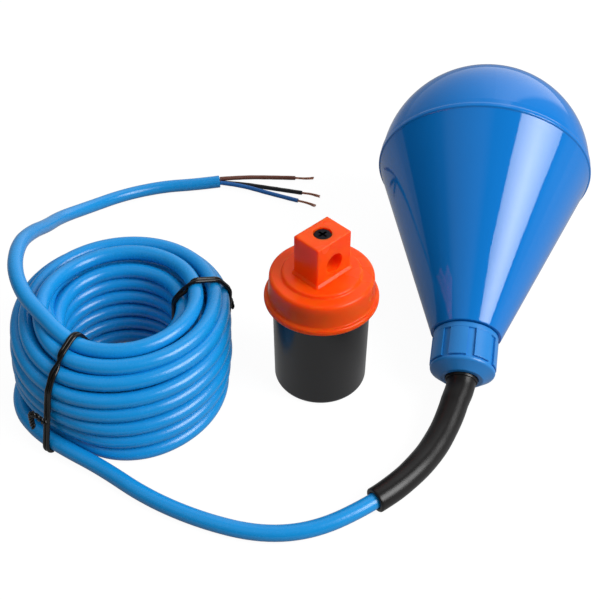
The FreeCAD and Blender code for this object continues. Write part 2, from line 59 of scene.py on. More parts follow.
def linear(hexColour):
    # sRGB hex to linear: divide by 12.92 below the knee, else ((c + 0.055) / 1.055) ^ 2.4
    parts = [int(hexColour[i:i + 2], 16) / 255 for i in (1, 3, 5)]
    return [c / 12.92 if c <= 0.04045 else ((c + 0.055) / 1.055) ** 2.4 for c in parts] + [1.0]


def addNode(tree, kind, values=None, links=None, **settings):
    # one node with its settings, the values of its sockets and the links into them
    node = tree.nodes.new(kind)
    for key, value in settings.items():
        setattr(node, key, value)
    for key, value in (values or {}).items():
        node.inputs[key].default_value = value
    for key, source in (links or {}).items():
        tree.links.new(source, node.inputs[key])
    return node


def newMaterial(name, shaderValues):
    material = bpy.data.materials.new(name)
    material.use_nodes = True
    shader = material.node_tree.nodes["Principled BSDF"]
    for key, value in shaderValues.items():
        shader.inputs[key].default_value = value
    return material, material.node_tree, shader


def perMetre(sizeInMm):
    # scale of a noise whose blotches are about this many millimetres across
    return 1000.0 / sizeInMm


# How rough the blotches and the grain of each family are, and what its shader starts from
families = {
    "plastic": {"blotchDetail": 3.0, "blotchRoughness": 0.5, "grainDetail": 2.0, "shader": {}},
    "rubber": {"blotchDetail": 5.0, "blotchRoughness": 0.65, "grainDetail": 3.0,
               "shader": {"IOR": 1.42, "Sheen Weight": 0.02, "Sheen Roughness": 0.4}},
    "metal": {"blotchDetail": 4.0, "blotchRoughness": 0.6, "grainDetail": 2.0,
              "shader": {"Metallic": 1.0}},
}


# One recipe for all but the jacket: two close colours in slow blotches, a gloss that follows the
# blotches, and a fine bump. blotch and grain are sizes in mm, height is the bump's depth in mm.
# A noise keeps mostly between 0.2 and 0.8, so that range is spread over the gloss
def unevenSurface(family, name, light, dark, gloss, blotch, grain, height, shaderValues=None):
    kind = families[family]
    material, tree, shader = newMaterial(name, kind["shader"] | (shaderValues or {}))
    place = addNode(tree, "ShaderNodeTexCoord").outputs["Object"]
    slow = addNode(tree, "ShaderNodeTexNoise",
                   {"Scale": perMetre(blotch), "Detail": kind["blotchDetail"],
                    "Roughness": kind["blotchRoughness"]}, {"Vector": place})
    colour = addNode(tree, "ShaderNodeMix", {6: linear(dark), 7: linear(light)},
                     {0: slow.outputs["Fac"]}, data_type="RGBA")
    tree.links.new(colour.outputs[2], shader.inputs["Base Color"])
    rough = addNode(tree, "ShaderNodeMapRange",
                    {"From Min": 0.2, "From Max": 0.8, "To Min": gloss[0], "To Max": gloss[1]},
                    {"Value": slow.outputs["Fac"]})
    tree.links.new(rough.outputs["Result"], shader.inputs["Roughness"])
    fine = addNode(tree, "ShaderNodeTexNoise",
                   {"Scale": perMetre(grain), "Detail": kind["grainDetail"]}, {"Vector": place})
    bump = addNode(tree, "ShaderNodeBump", {"Strength": 1.0, "Distance": height * mm},
                   {"Height": fine.outputs["Fac"]})
    tree.links.new(bump.outputs["Normal"], shader.inputs["Normal"])
    return material


# Polypropylene float shell, injection moulded in a polished mould: wet gloss, slight orange peel
floatShell = unevenSurface(
    "plastic", "polypropylene_polished_blue", "#1078ca", "#0e70c2",
    gloss=(0.05, 0.08), blotch=60.0, grain=7.0, height=0.012, shaderValues={"IOR": 1.49})
# The same plastic in a spark-eroded mould for the nut: satin, a little paler
nutPlastic = unevenSurface(
    "plastic", "polypropylene_satin_blue", "#2682cc", "#1f79c4",
    gloss=(0.28, 0.36), blotch=20.0, grain=0.5, height=0.012, shaderValues={"IOR": 1.49})
# Neoprene grommet, compression moulded: dull and faintly powdery
sealRubber = unevenSurface(
    "plastic", "neoprene_moulded", "#262524", "#1b1a1a",
    gloss=(0.62, 0.75), blotch=6.0, grain=0.4, height=0.03)
# Natural nylon washer, injection moulded: milky satin
washerNylon = unevenSurface(
    "plastic", "nylon_natural", "#dcd8c8", "#cfc9b6",
    gloss=(0.35, 0.45), blotch=9.0, grain=0.6, height=0.01, shaderValues={"IOR": 1.53})
# Polycarbonate capsule, injection moulded: light grey, smooth
capsulePlastic = unevenSurface(
    "plastic", "polycarbonate_grey", "#b9bdc0", "#a9adb1",
    gloss=(0.25, 0.33), blotch=18.0, grain=0.8, height=0.008, shaderValues={"IOR": 1.58})
# PBT snap switch housing, injection moulded: black, fine eroded grain
switchHousing = unevenSurface(
    "plastic", "pbt_black", "#2a2a2b", "#1d1d1e",
    gloss=(0.40, 0.50), blotch=8.0, grain=0.35, height=0.015)
# Acetal plunger, injection moulded: red, slick
plungerPlastic = unevenSurface(
    "plastic", "acetal_red", "#b5281f", "#9d1f18",
    gloss=(0.25, 0.32), blotch=3.0, grain=0.4, height=0.006, shaderValues={"IOR": 1.48})
# ABS cup of the counterweight, injection moulded with a fine eroded grain: satin black
cupPlastic = unevenSurface(
    "plastic", "abs_satin_black", "#141416", "#0d0d0e",
    gloss=(0.20, 0.26), blotch=22.0, grain=0.45, height=0.02, shaderValues={"IOR": 1.54})
# ABS cap, injection moulded: warm orange with a little light in the body of the plastic
capPlastic = unevenSurface(
    "plastic", "abs_satin_orange", "#fd540a", "#fb4a08",
    gloss=(0.22, 0.30), blotch=24.0, grain=0.5, height=0.010,
    shaderValues={"IOR": 1.42, "Specular IOR Level": 0.28, "Subsurface Weight": 1.0,
                  "Subsurface Radius": (1.0, 0.10, 0.03), "Subsurface Scale": 0.005})
# PVC insulation of the three cores, extruded: smooth with soft sheen
coreBrown = unevenSurface(
    "plastic", "pvc_core_brown", "#7a4a3a", "#6a3c2e",
    gloss=(0.34, 0.44), blotch=5.0, grain=0.8, height=0.02)
coreBlack = unevenSurface(
    "plastic", "pvc_core_black", "#242425", "#17171a",
    gloss=(0.34, 0.44), blotch=5.0, grain=0.8, height=0.02)
coreBlue = unevenSurface(
    "plastic", "pvc_core_blue", "#1d68b2", "#165a9e",
    gloss=(0.34, 0.44), blotch=5.0, grain=0.8, height=0.02)

# EPDM rubber of the bend sleeve, moulded: dull, with a broad sheen
sleeveRubber = unevenSurface(
    "rubber", "epdm_moulded_black", "#161414", "#0c0b0b",
    gloss=(0.27, 0.38), blotch=12.0, grain=0.6, height=0.02)
# PVC-coated tie wire, extruded: black and smoother than the sleeve
tieCoat = unevenSurface(
    "rubber", "pvc_coated_wire_black", "#171513", "#0c0b0a",
    gloss=(0.16, 0.26), blotch=12.0, grain=0.5, height=0.02)

# Copper strands, drawn: warm pink, slightly tarnished
copper = unevenSurface(
    "metal", "copper_drawn", "#eab095", "#d08c6e",
    gloss=(0.34, 0.48), blotch=4.0, grain=0.3, height=0.01)
# Chrome steel ball, ground and polished: mirror gloss
ballSteel = unevenSurface(
    "metal", "steel_polished", "#c9cbcd", "#b6b9bc",
    gloss=(0.06, 0.10), blotch=4.0, grain=0.8, height=0.001)
# Spring steel, cold rolled: even grey satin
springSteel = unevenSurface(
    "metal", "spring_steel_rolled", "#b3b5b6", "#9a9c9e",
    gloss=(0.24, 0.34), blotch=4.0, grain=0.3, height=0.004)
# Cast iron slug: dark grey with a rough skin
ballastSteel = unevenSurface(
    "metal", "cast_iron_skin", "#6e6c69", "#4f4d4b",
    gloss=(0.50, 0.65), blotch=4.0, grain=0.8, height=0.06)
# Steel screw, black oxide: near black with a dark gloss
screwSteel = unevenSurface(
    "metal", "steel_black_oxide", "#303036", "#141418",
    gloss=(0.12, 0.20), blotch=4.0, grain=0.4, height=0.01)
# Brass terminals, stamped: dull yellow
terminalBrass = unevenSurface(
    "metal", "brass_stamped", "#c9a85c", "#b08f47",
    gloss=(0.25, 0.35), blotch=4.0, grain=0.3, height=0.004)

# Sizes are in mm; the scuffs turn into a gloss between the two roughness values
jacketFinish = {
    "name": "pvc_jacket_blue",
    "light": "#1391d8",
    "dark": "#0f88d0",
    "blotch": 30.0,
    "scuff": 3.0,
    "gloss": (0.21, 0.32),
    "waveLength": 9.0,
    "waveHeight": 0.10,
    "grain": 0.7,
    "grainHeight": 0.012,
}


# PVC cable jacket, extruded: satin, scuffed from handling, with a fine grain and shallow waves
# that break up the highlight
def extrudedJacket(finish):
    material, tree, shader = newMaterial(finish["name"], {"IOR": 1.5})
    place = addNode(tree, "ShaderNodeTexCoord").outputs["Object"]
    slow = addNode(tree, "ShaderNodeTexNoise",
                   {"Scale": perMetre(finish["blotch"]), "Detail": 4.0, "Roughness": 0.6},
                   {"Vector": place})
    colour = addNode(tree, "ShaderNodeMix",
                     {6: linear(finish["dark"]), 7: linear(finish["light"])},
                     {0: slow.outputs["Fac"]}, data_type="RGBA")
    tree.links.new(colour.outputs[2], shader.inputs["Base Color"])
    scuff = addNode(tree, "ShaderNodeTexNoise",
                    {"Scale": perMetre(finish["scuff"]), "Detail": 5.0, "Roughness": 0.7},
                    {"Vector": place})
    rough = addNode(tree, "ShaderNodeMapRange",
                    {"From Min": 0.35, "From Max": 0.7,
                     "To Min": finish["gloss"][0], "To Max": finish["gloss"][1]},
                    {"Value": scuff.outputs["Fac"]})
    tree.links.new(rough.outputs["Result"], shader.inputs["Roughness"])
    wave = addNode(tree, "ShaderNodeTexNoise",
                   {"Scale": perMetre(finish["waveLength"]), "Detail": 1.0}, {"Vector": place})
    shallow = addNode(tree, "ShaderNodeBump",
                      {"Strength": 1.0, "Distance": finish["waveHeight"] * mm},
                      {"Height": wave.outputs["Fac"]})
    grain = addNode(tree, "ShaderNodeTexNoise",
                    {"Scale": perMetre(finish["grain"]), "Detail": 2.0}, {"Vector": place})
    bump = addNode(tree, "ShaderNodeBump",
                   {"Strength": 1.0, "Distance": finish["grainHeight"] * mm},
                   {"Height": grain.outputs["Fac"], "Normal": shallow.outputs["Normal"]})
    tree.links.new(bump.outputs["Normal"], shader.inputs["Normal"])
    return material


jacketPlastic = extrudedJacket(jacketFinish)

nodeMaterials = {
    "float_dome": floatShell,
    "gland_nut": nutPlastic,
    "gland_seal": sealRubber,
    "gland_washer": washerNylon,
    "capsule_base": capsulePlastic,
    "capsule_lid": capsulePlastic,
    "channel_plug": capsulePlastic,
    "steel_ball": ballSteel,
    "switch_lever": springSteel,
    "lever_pin": springSteel,
    "switch_body": switchHousing,
    "switch_plunger": plungerPlastic,
    "terminal_brown": terminalBrass,
    "terminal_black": terminalBrass,
    "terminal_blue": terminalBrass,
    "inner_core_brown": coreBrown,
    "inner_core_black": coreBlack,
    "inner_core_blue": coreBlue,
    "weight_cup": cupPlastic,
    "weight_ballast": ballastSteel,
    "weight_cap": capPlastic,
    "clamp_screw": screwSteel,
}
for nodeName, material in nodeMaterials.items():
    nodes[nodeName].data.materials.clear()
    nodes[nodeName].data.materials.append(material)
print("materials:", len(bpy.data.materials))


# Surfaces

# Faces of a grid of rings: each quad joins a point with its neighbour round the ring and along
# the rings; the last row joins the first, or both ends are closed flat
def ringFaces(rows, sides, closeRows, first=0):
    usedRows = np.arange(rows if closeRows else rows - 1)
    row, side = np.meshgrid(usedRows, np.arange(sides), indexing="ij")
    nextRow = (row + 1) % rows
    nextSide = (side + 1) % sides
    quads = np.stack([row * sides + side, row * sides + nextSide,
                      nextRow * sides + nextSide, nextRow * sides + side], -1)
    faces = (quads.reshape(-1, 4) + first).tolist()
    if not closeRows:
        faces.append((first + np.arange(sides)[::-1]).tolist())
        faces.append((first + (rows - 1) * sides + np.arange(sides)).tolist())
    return faces


def addPiece(name, points, faces, material, sharpAngle=40.0):
    mesh = bpy.data.meshes.new(name)
    mesh.from_pydata(points.reshape(-1, 3).tolist(), [], faces)
    mesh.polygons.foreach_set("use_smooth", np.ones(len(mesh.polygons), bool))
    mesh.set_sharp_from_angle(angle=math.radians(sharpAngle))
    mesh.update()
    piece = bpy.data.objects.new(name, mesh)
    bpy.context.scene.collection.objects.link(piece)
    piece.data.materials.append(material)
    return piece


def unit(vectors):
    return vectors / np.linalg.norm(vectors, axis=-1, keepdims=True)


def lengthAlong(path):
    # distance along the path at each of its points: the running sum of the steps
    steps = np.linalg.norm(np.diff(path, axis=0), axis=1)
    return np.concatenate([[0.0], np.cumsum(steps)])


def pointAt(path, along):
    reached = lengthAlong(path)
    return np.stack([np.interp(along, reached, path[:, i]) for i in range(3)], -1)


# Two directions across a path: one level with the reference direction, one square to it
def acrossPath(path, reference):
    tangent = unit(np.gradient(path, axis=0))
    sideways = unit(np.cross(reference, tangent))
    return sideways, np.cross(tangent, sideways)


# A profile of (distance, radius) carried along a path: point = path(distance) + radius *
# (cos a * side + sin a * up), with a going once round
def carryProfile(path, profile, sides, reference=(0.0, 0.0, 1.0)):
    profile = np.asarray(profile)
    sideways, upwards = acrossPath(path, np.asarray(reference))
    reached = lengthAlong(path)

    def carried(values):
        return np.stack([np.interp(profile[:, 0], reached, values[:, i]) for i in range(3)], -1)

    centre, sideways, upwards = carried(path), unit(carried(sideways)), unit(carried(upwards))
    angle = np.linspace(0, 2 * math.pi, sides, endpoint=False)[None, :, None]
    radius = profile[:, 1][:, None, None]
    across = np.cos(angle) * sideways[:, None] + np.sin(angle) * upwards[:, None]
    return centre[:, None] + radius * across


# Round wires, one for each path of (wires, points, 3): point = path + radius * (cos a * side +
# sin a * up); no wire runs along the reference direction
def wireRings(paths, radius, sides, reference=(0.0, 0.3, 1.0)):
    tangent = unit(np.gradient(paths, axis=1))
    sideways = unit(np.cross(reference, tangent))
    upwards = np.cross(tangent, sideways)
    angle = np.linspace(0, 2 * math.pi, sides, endpoint=False)[:, None]
    ring = np.cos(angle) * sideways[:, :, None] + np.sin(angle) * upwards[:, :, None]
    return paths[:, :, None] + radius * ring


def nurbsCurve(name, controlPoints, resolution):
    curve = bpy.data.curves.new(name, "CURVE")
    curve.dimensions = "3D"
    curve.resolution_u = resolution
    spline = curve.splines.new("NURBS")
    spline.points.add(len(controlPoints) - 1)
    weighted = np.column_stack([controlPoints, np.ones(len(controlPoints))])
    spline.points.foreach_set("co", weighted.ravel())
    spline.order_u = 3
    spline.use_endpoint_u = True
    spline.use_smooth = True
    return curve


# The points of a curve's own line, read without its thickness
def linePoints(curve):
    bare = curve.copy()
    bare.bevel_depth = 0.0
    bare.use_fill_caps = False
    holder = bpy.data.objects.new("line", bare)
    mesh = bpy.data.meshes.new_from_object(holder)
    points = np.zeros(len(mesh.vertices) * 3)
    mesh.vertices.foreach_get("co", points)
    bpy.data.objects.remove(holder)
    bpy.data.meshes.remove(mesh)
    return points.reshape(-1, 3)


# The float's cone: (radius, place along the axis, rounding) of each corner, outside first. The
# weld at its shoulder leaves a low rim that the float's weight presses flat on the floor
floatCone = {
    "sides": 240,
    "cornerSteps": 6,
    "cornerSupport": 0.00012,
    "corners": [
        (0.04780, -0.00120, 0.00005), (0.05000, -0.00120, 0.00002),
        (0.05000, 0.00110, 0.00010), (0.05030, 0.00190, 0.00040),
        (0.05030, 0.00330, 0.00070), (0.04955, 0.00370, 0.00010),
        (0.01540, 0.09180, 0.00050), (0.01200, 0.09180, 0.00010),
        (0.01200, 0.10540, 0.00050), (0.00900, 0.10540, 0.00020),
        (0.00900, 0.09540, 0.00020), (0.00500, 0.09540, 0.00020),
        (0.00500, 0.08840, 0.00020), (0.01434, 0.08840, 0.00100),
        (0.04711, 0.00260, 0.00010), (0.04780, 0.00260, 0.00010)],
}


# Corners as a finer profile: each corner is cut back by rounding / tan(half its angle) and
# bridged by a parabola (1 - t)^2 * start + 2 t (1 - t) * corner + t^2 * end, with a support point
# beside each bridge
def roundedProfile(corners, steps, support):
    points = np.array([corner[:2] for corner in corners])
    back = unit(np.roll(points, 1, 0) - points)
    ahead = unit(np.roll(points, -1, 0) - points)
    t = np.linspace(0, 1, steps)[:, None]
    profile = []
    for i, corner in enumerate(corners):
        half = math.acos(float(np.clip(back[i] @ ahead[i], -1, 1))) / 2
        cut = corner[2] / math.tan(half)
        start, end = points[i] + back[i] * cut, points[i] + ahead[i] * cut
        bridge = (1 - t) ** 2 * start + 2 * t * (1 - t) * points[i] + t ** 2 * end
        profile += [start + back[i] * support] + list(bridge) + [end + ahead[i] * support]
    return np.array(profile)


# A profile turned round the float's axis: point = axis(place) + radius * (cos a * side +
# sin a * up)
def turnOnAxis(profile, sides):
    sideways = unit(np.cross((0.0, 0.0, 1.0), floatAxis["direction"]))
    upwards = np.cross(floatAxis["direction"], sideways)
    angle = np.linspace(0, 2 * math.pi, sides, endpoint=False)[None, :, None]
    radius = profile[:, 0][:, None, None]
    centre = axisPoint(profile[:, 1][:, None])
    return centre[:, None] + radius * (np.cos(angle) * sideways + np.sin(angle) * upwards)


coneProfile = roundedProfile(
    floatCone["corners"], floatCone["cornerSteps"], floatCone["cornerSupport"])
rings = turnOnAxis(coneProfile, floatCone["sides"])
rings[..., 2] = np.maximum(rings[..., 2], 0.0)
faces = ringFaces(rings.shape[0], rings.shape[1], True)
conePiece = addPiece("float_cone_shell", rings, faces, floatShell)
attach(conePiece, mainBody)
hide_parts("float_cone")
print("float cone: %d points" % len(conePiece.data.vertices))


# The cable, from the seal in the gland to its stripped end
cable = {
    "radius": 0.0033,
    "length": 4.70,
    "resolution": 8,
    "roundness": 8,
    "straightPastNut": 0.004,
    "leadPoints": [
        (0.0490, -0.0450, 0.0059), (0.0350, -0.0635, 0.0058), (0.0180, -0.0775, 0.0058),
        (-0.0030, -0.0880, 0.0042), (-0.0240, -0.0895, 0.0033), (-0.0470, -0.0830, 0.0033),
        (-0.0695, -0.0720, 0.0033), (-0.0895, -0.0570, 0.0033)],
    "tailPoints": [
        (-0.1060, -0.0226, 0.0455), (-0.1140, -0.0146, 0.0482), (-0.1240, -0.0035, 0.0500),
        (-0.1310, 0.0125, 0.0510), (-0.1335, 0.0330, 0.0480), (-0.1325, 0.0525, 0.0390),
        (-0.1310, 0.0690, 0.0290), (-0.1300, 0.0900, 0.0180), (-0.1195, 0.1105, 0.0090),
        (-0.1040, 0.1275, 0.0045), (-0.0840, 0.1365, 0.0033), (-0.0660, 0.1385, 0.0033),
        (-0.0533, 0.1413, 0.0033)],
}

# The coil in the cable's middle: sizes in mm, angles in degrees
coil = {
    "pointsPerTurn": 16,
    "startAngle": 268.0,
    "endAngle": 240.0,
    # each turn's radius and height, in winding order: the lead, the floor turns inwards,
    # up the inner wall, down the middle, up the outer wall and in over the top
    "turns": [
        (49.2, 3.3), (42.6, 3.3), (35.8, 3.3), (28.8, 3.3),
        (28.6, 9.8), (28.0, 16.3), (27.6, 22.8), (27.5, 29.2), (26.8, 35.5),
        (33.7, 32.9), (35.2, 26.2), (35.6, 19.3), (35.8, 12.4),
        (43.5, 9.9), (44.3, 16.4), (44.0, 22.9), (44.0, 29.0), (43.5, 34.8),
        (39.0, 39.5), (31.2, 41.6)],
    # how the change to the next turn goes: floor turns leave late, risers leave early
    "changes": "fff" + "rrrrr" + "o" + "ddd" + "d" + "rrrr" + "rt",
    "changeKinds": {
        "f": {"from": 262.0, "to": 155.0, "late": True, "hump": 0.0},
        "r": {"from": 240.0, "to": 140.0, "late": False, "hump": 0.0},
        "o": {"from": 240.0, "to": 140.0, "late": False, "hump": 4.5},
        "d": {"from": 240.0, "to": 140.0, "late": True, "hump": 0.0},
        "t": {"from": 240.0, "to": 140.0, "late": False, "hump": 3.0},
    },
    # the coil leans: centre of the turns at each height, for the outer and the inner turns
    "leanHeights": [3.3, 16.4, 29.0, 35.0, 39.4, 41.6],
    "centreX": [-86.3, -86.2, -85.9, -85.9, -84.5, -84.5],
    "centreY": [-8.5, -4.0, 0.0, 3.7, 4.2, 2.7],
    "centreInnerY": [-8.5, -4.0, 0.0, 1.7, 2.3, 2.7],
    "innerRadius": 34,  # a turn counts as inner up to here, and as outer past the step after it
    "outerStep": 7,
    # the ties act on the turns below one height, fully from one span further down: the front
    # one pulls them in, both lift them, and each acts over its own angle
    "tiedBelow": 24.0,
    "tiedSpan": 20.7,
    "pullIn": 5.5,
    "pullAngle": 32,
    "lift": 1.7,
    "liftAngle": 16,
    "splineInside": 0.981,  # the spline runs this much inside its control points
}

ties = {
    "wireRadius": 0.0008,
    "sides": 10,
    "points": 240,
    "gap": 0.0001,
    "apart": 1.02,
    "crossShare": 0.10,
    "centre": np.array([-0.0860, -0.0030, 0.0]),
    # the bundle's cross-section is looked for at these distances from the coil's centre
    "bundleFrom": 0.012,
    "bundleTo": 0.058,
    "directions": 1440,
    "smoothing": 3,
    "endRadius": 0.0006,
    "endPoints": 90,
    "endResolution": 16,
    "twistPitch": 0.0040,
    "endReference": np.array([0.3, 0.2, 0.9]),  # no end runs along this direction
    "front": {
        "angle": 238.0,
        "crossAt": [0.30, 0.86],
        "tail": [(-0.1115, -0.0472, 0.0195), (-0.1135, -0.0476, 0.0225),
                 (-0.1155, -0.0470, 0.0252), (-0.1172, -0.0458, 0.0238),
                 (-0.1179, -0.0450, 0.0190), (-0.1180, -0.0446, 0.0140)],
    },
    "back": {
        "angle": 22.0,
        "crossAt": [0.20, 0.65],
        "tail": [(-0.0416, 0.0165, 0.0300), (-0.0403, 0.0176, 0.0287),
                 (-0.0397, 0.0181, 0.0262), (-0.0394, 0.0183, 0.0225)],
    },
}


# The coil's turns: the angle falls once round per turn, and radius and height step to the next
# turn over the change: share = sin(t * 90 deg) when it leaves early, 1 - cos(t * 90 deg) when
# late. Near a tie a low turn is pulled in and lifted by exp(-(angle from the tie / width)^2)
def coilPoints():
    turns = np.array(coil["turns"])
    lastTurn = len(turns) - 1 + (coil["startAngle"] - coil["endAngle"]) / 360
    turned = np.arange(1, int(lastTurn * coil["pointsPerTurn"]) + 1) / coil["pointsPerTurn"]
    radius = np.full(len(turned), turns[0, 0])
    height = np.full(len(turned), turns[0, 1])
    for i, letter in enumerate(coil["changes"]):
        kind = coil["changeKinds"][letter]
        begin = i + (coil["startAngle"] - kind["from"]) / 360
        end = i + (coil["startAngle"] - kind["to"]) / 360
        t = np.clip((turned - begin) / (end - begin), 0, 1)
        share = 1 - np.cos(t * math.pi / 2) if kind["late"] else np.sin(t * math.pi / 2)
        radius += (turns[i + 1, 0] - turns[i, 0]) * share
        height += (turns[i + 1, 1] - turns[i, 1]) * share + kind["hump"] * np.sin(math.pi * t)
    angle = coil["startAngle"] - 360 * turned
    fromFront = (angle - ties["front"]["angle"] + 180) % 360 - 180
    fromBack = (angle - ties["back"]["angle"] + 180) % 360 - 180
    low = np.clip((coil["tiedBelow"] - height) / coil["tiedSpan"], 0, 1)
    radius -= coil["pullIn"] * np.exp(-(fromFront / coil["pullAngle"]) ** 2) * low
    height += coil["lift"] * low * (np.exp(-(fromFront / coil["liftAngle"]) ** 2)
                                    + np.exp(-(fromBack / coil["liftAngle"]) ** 2))
    outer = np.clip((radius - coil["innerRadius"]) / coil["outerStep"], 0, 1)
    heights = coil["leanHeights"]
    centreX = np.interp(height, heights, coil["centreX"])
    centreY = outer * np.interp(height, heights, coil["centreY"])
    centreY += (1 - outer) * np.interp(height, heights, coil["centreInnerY"])
    radius = radius / coil["splineInside"]
    angle = np.radians(angle)
    across = [centreX + radius * np.cos(angle), centreY + radius * np.sin(angle)]
    return mm * np.column_stack(across + [height])


routePoints = np.vstack([
    [axisPoint(floatAxis["jacketStart"]),
     axisPoint(floatAxis["nutEnd"] + cable["straightPastNut"])],
    cable["leadPoints"], coilPoints(), cable["tailPoints"]])
cableCurve = nurbsCurve("cable", routePoints, cable["resolution"])
cableCurve.bevel_depth = cable["radius"]
cableCurve.bevel_resolution = cable["roundness"]
cableCurve.use_fill_caps = True
cableCurve.materials.append(jacketPlastic)
cablePiece = bpy.data.objects.new("cable", cableCurve)
bpy.context.scene.collection.objects.link(cablePiece)
cableLine = linePoints(cableCurve)
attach(cablePiece, mainBody)
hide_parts("cable_lead", "cable_coil", "cable_tail")
print("cable: %d control points, %.3f m" % (len(routePoints), lengthAlong(cableLine)[-1]))


# The black sleeve that keeps the cable from kinking at the nut
sleeve = {
    "length": 0.0736,
    "boreRadius": 0.0036,
    "flangeRadius": 0.0091,
    "flangeThickness": 0.0034,
    "flangeChamfer": 0.0002,
    "lipRadius": 0.0070,
    "lipStandOut": 0.0011,
    # (along, outwards) from the corner of the lip, and of the square cut at the open end
    "lipEdge": [(-0.0004, 0.0), (-0.0001, -0.0001), (0.0, -0.0004)],
    "cutEdge": [(-0.0005, 0.0), (-0.00025, -0.0001), (-0.0001, -0.0003), (0.0, -0.0006)],
    "boreChamfer": 0.0002,
    # outer radius at shares of the length past the nut, and how uneven the hand-cut hose is
    "taper": [(0.0, 0.00645), (0.05, 0.0061), (0.35, 0.0058), (0.7, 0.0055), (1.0, 0.0052)],
    "hoseStart": 0.012,
    "unevenness": 0.00005,
    "unevenWaves": (23, 9),
    "hoseRings": 70,
    "boreFrom": 0.002,
    "boreTo": 0.001,
    "boreRings": 40,
    "sides": 48,
    # the path starts with the jacket in the nut, and leaves the axis over the distance outside it
    "pathLength": 0.115,
    "pathPoints": 231,
    "leavesAxisOver": 0.012,
}


# The sleeve's path is the float's axis inside the nut and runs over to the cable's own line
# outside it: (1 - s) * axis + s * cable, s = t^2 * (3 - 2 t)
def sleevePath():
    start = floatAxis["jacketStart"]
    along = np.linspace(0, sleeve["pathLength"], sleeve["pathPoints"])
    straight = axisPoint((start + along)[:, None])
    onCable = pointAt(cableLine, along)
    t = np.clip((start + along - floatAxis["nutEnd"]) / sleeve["leavesAxisOver"], 0, 1)[:, None]
    share = t * t * (3 - 2 * t)
    return (1 - share) * straight + share * onCable


# Profile: flange behind the nut's end wall, lip, tapering hose, square cut with a small
# rounded edge, and back through the bore. The hose's radius = taper + unevenness * product of
# two slow sines
def sleeveProfile():
    end = floatAxis["nutEnd"] - floatAxis["jacketStart"]
    inside = floatAxis["nutInsideEnd"] - floatAxis["jacketStart"]
    bore, flange, lip = sleeve["boreRadius"], sleeve["flangeRadius"], sleeve["lipRadius"]
    flangeStart = inside - sleeve["flangeThickness"]
    lipEnd = end + sleeve["lipStandOut"]
    tip = end + sleeve["length"]
    chamfer = sleeve["flangeChamfer"]
    profile = [(flangeStart, bore), (flangeStart, flange - chamfer),
               (flangeStart + chamfer, flange), (inside, flange), (inside, lip)]
    profile += [(lipEnd + along, lip + outwards) for along, outwards in sleeve["lipEdge"]]
    shares = np.linspace(sleeve["hoseStart"], 1, sleeve["hoseRings"])
    radii = np.interp(shares, *np.array(sleeve["taper"]).T)
    quick, slow = sleeve["unevenWaves"]
    radii += sleeve["unevenness"] * np.sin(shares * quick) * np.sin(shares * slow + 1)
    profile += [(end + s * sleeve["length"], r) for s, r in zip(shares[:-1], radii[:-1])]
    profile += [(tip + along, radii[-1] + outwards) for along, outwards in sleeve["cutEdge"]]
    chamfer = sleeve["boreChamfer"]
    profile += [(tip, bore + chamfer), (tip - chamfer, bore)]
    boreAlong = np.linspace(
        tip - sleeve["boreFrom"], flangeStart + sleeve["boreTo"], sleeve["boreRings"])
    return profile + [(along, bore) for along in boreAlong]


rings = carryProfile(sleevePath(), sleeveProfile(), sleeve["sides"])
faces = ringFaces(rings.shape[0], rings.shape[1], True)
sleevePiece = addPiece("bend_sleeve_hose", rings, faces, sleeveRubber)
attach(sleevePiece, mainBody)
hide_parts("bend_sleeve")
print("sleeve: %d points" % len(sleevePiece.data.vertices))


# Stripped cores and their bare strands
cores = {
    "radius": 0.00115,
    "boreRadius": 0.00066,
    "boreDepth": 0.003,
    "unevenness": 0.00002,
    "unevenWave": 900,
    "rings": 60,
    "resolution": 24,
    "sides": 20,
    # the squeezed rim: (along, outwards) from the corner of the cut end
    "rimStart": 0.0009,
    "rimEdge": [(-0.0006, -0.00004), (-0.00025, 0.0), (-0.0001, -0.00003), (0.0, -0.00012)],
    "boreChamfer": (0.0001, 0.00005),
    "colours": {"brown": coreBrown, "black": coreBlack, "blue": coreBlue},
    "routes": {
        "brown": [(-0.0531, 0.1421, 0.00445), (-0.0410, 0.1444, 0.0039),
                  (-0.0270, 0.1459, 0.0028), (-0.0116, 0.1464, 0.0020)],
        "black": [(-0.0530, 0.1420, 0.0021), (-0.0420, 0.1412, 0.0019),
                  (-0.0260, 0.1376, 0.0016), (-0.0079, 0.1332, 0.0015)],
        "blue": [(-0.0526, 0.1400, 0.00335), (-0.0420, 0.1386, 0.0029),
                 (-0.0265, 0.1324, 0.0020), (-0.0101, 0.1260, 0.0016)],
    },
}
strands = {
    "layers": [(1, 0.0), (6, 0.00024), (12, 0.00047)],
    "radius": 0.000115,
    "length": 0.0105,
    "grip": 0.0030,
    "layLength": 0.014,
    "points": 40,
    "sides": 6,
    "firstSeed": 3,
    # how far the bundle sways and droops, and how unlike each other its wires are
    "sway": 0.0006,
    "swayWaves": 4.5,
    "droop": 0.0002,
    "unevenEnds": 0.0012,
    "unevenTurn": 0.15,
    "spread": 0.40,
    "spreadRange": (0.6, 1.3),
}


